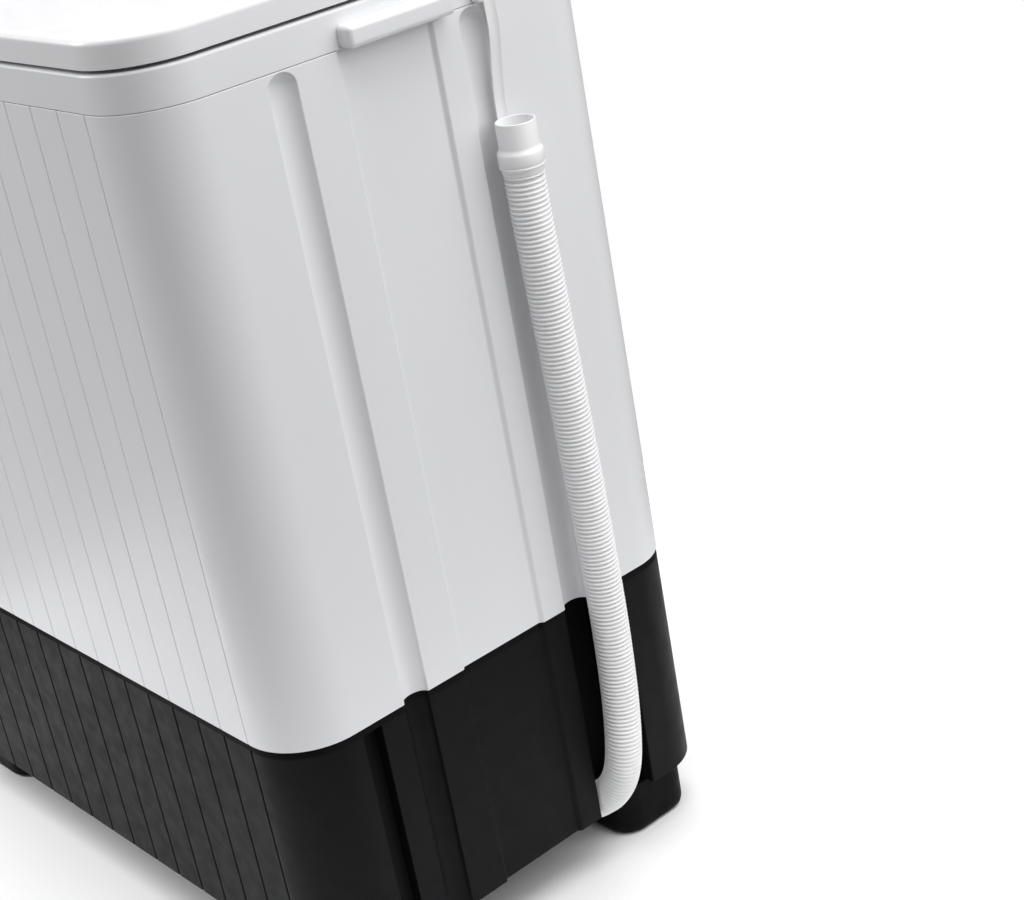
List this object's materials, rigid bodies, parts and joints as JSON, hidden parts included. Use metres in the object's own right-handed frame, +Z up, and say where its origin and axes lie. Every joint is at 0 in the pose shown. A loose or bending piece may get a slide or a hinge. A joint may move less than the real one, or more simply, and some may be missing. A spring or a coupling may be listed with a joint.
{
  "type": "twin-tub top load washing machine",
  "caption": "Twin-tub top load washing machine: white body on a black base, two hinged lids, rear console with knobs, side drain hose on a strap.",
  "frame": {"origin": "on the floor under the middle of the machine", "axes": "+Z up, the front faces -Y, the drain hose is on the +X side"},
  "size_m": [0.859, 0.478, 0.9955],
  "materials": {
    "white_plastic": "satin moulded white plastic",
    "black_plastic": "fine textured black plastic",
    "hose_plastic": "soft white corrugated plastic",
    "grey_plastic": "moulded grey plastic",
    "tub_plastic": "smooth tub plastic",
    "panel_gloss": "gloss black fascia",
    "rubber": "black rubber",
    "steel": "brushed",
    "painted_steel": "painted",
    "aluminium": "cast"
  },
  "bodies": {
    "casing": {"cabinet_shell": "white_plastic", "top_frame": "white_plastic", "left_grip": "white_plastic", "right_grip": "white_plastic", "console_housing": "white_plastic", "back_cover": "white_plastic", "hose_hook": "white_plastic", "base_frame": "black_plastic", "front_left_foot": "black_plastic", "front_right_foot": "black_plastic", "rear_left_foot": "black_plastic", "rear_right_foot": "black_plastic", "drain_outlet": "black_plastic", "drain_hose": "hose_plastic", "hose_end_cuff": "hose_plastic", "hose_strap": "hose_plastic", "wash_timer": "grey_plastic", "wash_mode_switch": "grey_plastic", "drain_selector": "grey_plastic", "spin_timer": "grey_plastic", "water_inlet": "grey_plastic", "pulsator_bearing": "grey_plastic", "drain_valve_box": "grey_plastic", "wash_tub": "tub_plastic", "spin_outer_tub": "tub_plastic", "control_fascia": "panel_gloss", "drive_belt": "rubber", "shaft_seal": "rubber", "motor_mount_1": "rubber", "motor_mount_2": "rubber", "motor_mount_3": "rubber", "power_cord_gland": "rubber", "back_cover_screw_1": "steel", "back_cover_screw_2": "steel", "back_cover_screw_3": "steel", "back_cover_screw_4": "steel", "brake_pivot_post": "steel", "wash_motor": "painted_steel", "spin_motor": "painted_steel", "motor_capacitor": "aluminium"},
    "wash_lid": {"wash_lid": "white_plastic", "wash_lid_hinge_pin": "steel"},
    "spin_lid": {"spin_lid": "white_plastic", "spin_lid_hinge_pin": "steel"},
    "wash_timer_knob": {"wash_timer_knob": "white_plastic"},
    "wash_mode_knob": {"wash_mode_knob": "white_plastic"},
    "drain_knob": {"drain_knob": "white_plastic"},
    "spin_timer_knob": {"spin_timer_knob": "white_plastic"},
    "pulsator": {"pulsator": "white_plastic", "pulsator_shaft": "steel", "wash_pulley": "aluminium"},
    "wash_motor_rotor": {"motor_pulley": "steel", "wash_motor_shaft": "steel"},
    "spin_basket": {"spin_basket": "steel", "basket_hub": "grey_plastic", "spin_shaft": "steel", "brake_drum": "painted_steel"},
    "lint_filter": {"lint_filter": "grey_plastic"},
    "brake_lever": {"brake_lever": "steel"},
    "drain_plunger": {"drain_valve_plunger": "rubber"}
  },
  "joints": [
    {"name": "wash_lid_hinge", "type": "hinge", "parent": "casing", "child": "wash_lid", "pos_m": [-0.15575, 0.107, 0.9206], "axis": [-1, 0, 0], "range_deg": [0, 88]},
    {"name": "spin_lid_hinge", "type": "hinge", "parent": "casing", "child": "spin_lid", "pos_m": [0.24575, 0.107, 0.9206], "axis": [-1, 0, 0], "range_deg": [0, 88]},
    {"name": "wash_timer_turn", "type": "hinge", "parent": "casing", "child": "wash_timer_knob", "pos_m": [-0.27, 0.14279, 0.95653], "axis": [0, 0.8064, -0.5914], "range_deg": [0, 270]},
    {"name": "wash_mode_turn", "type": "hinge", "parent": "casing", "child": "wash_mode_knob", "pos_m": [-0.13, 0.14279, 0.95653], "axis": [0, 0.8064, -0.5914], "range_deg": [-45, 45]},
    {"name": "drain_turn", "type": "hinge", "parent": "casing", "child": "drain_knob", "pos_m": [0.06, 0.14279, 0.95653], "axis": [0, 0.8064, -0.5914], "range_deg": [0, 90]},
    {"name": "spin_timer_turn", "type": "hinge", "parent": "casing", "child": "spin_timer_knob", "pos_m": [0.25, 0.14279, 0.95653], "axis": [0, 0.8064, -0.5914], "range_deg": [0, 270]},
    {"name": "pulsator_spin", "type": "hinge", "parent": "casing", "child": "pulsator", "pos_m": [-0.15, -0.055, 0.44], "axis": [0, 0, 1], "continuous": true},
    {"name": "wash_motor_spin", "type": "hinge", "parent": "casing", "child": "wash_motor_rotor", "pos_m": [-0.305, -0.055, 0.315], "axis": [0, 0, 1], "continuous": true},
    {"name": "basket_spin", "type": "hinge", "parent": "casing", "child": "spin_basket", "pos_m": [0.235, -0.055, 0.45], "axis": [0, 0, 1], "continuous": true},
    {"name": "lint_filter_lift", "type": "slide", "parent": "casing", "child": "lint_filter", "axis": [0, 0, 1], "range_m": [0, 0.1]},
    {"name": "brake_lever_swing", "type": "hinge", "parent": "casing", "child": "brake_lever", "pos_m": [0.175, -0.007, 0.244], "axis": [0, 0, 1], "range_deg": [0, 3.2]},
    {"name": "drain_plunger_lift", "type": "slide", "parent": "casing", "child": "drain_plunger", "axis": [0, 0, 1], "range_m": [0, 0.0225]}
  ],
  "couplings": [
    {"joint": "wash_motor_spin", "follows": "pulsator_spin", "ratio": 4.4444},
    {"joint": "brake_lever_swing", "follows": "spin_lid_hinge", "ratio": 0.034},
    {"joint": "drain_plunger_lift", "follows": "drain_turn", "m_per_rad": 0.014}
  ]
}
